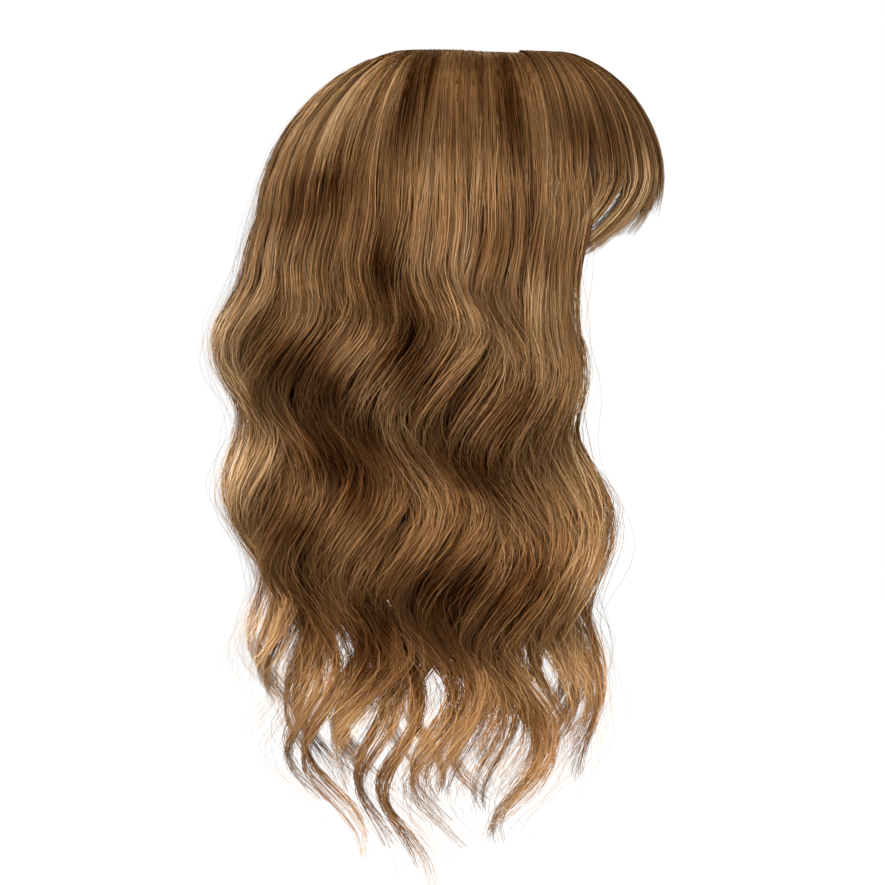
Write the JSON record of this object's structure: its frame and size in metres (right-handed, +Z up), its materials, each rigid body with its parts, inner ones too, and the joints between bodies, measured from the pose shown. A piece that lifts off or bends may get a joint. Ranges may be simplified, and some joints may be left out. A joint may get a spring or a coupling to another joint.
{
  "type": "hair topper with bangs",
  "caption": "Long loosely waved hair topper: domed net base with snap combs, side-parted hair to either side and swept bangs.",
  "frame": {"origin": "crown of the base's underside, where the topper sits on a head", "axes": "+X to the front (bangs), +Y to the wearer's left, +Z up out of the head"},
  "size_m": [0.2118, 0.1679, 0.396],
  "materials": {
    "hair": "satin fibre",
    "base_net": "woven net",
    "clip_coating": "satin"
  },
  "bodies": {
    "root": {"base_cap": "base_net", "hair_right": "hair", "hair_left": "hair", "bangs": "hair", "clip_front": "clip_coating", "clip_back": "clip_coating", "clip_left": "clip_coating", "clip_right": "clip_coating"}
  },
  "joints": []
}
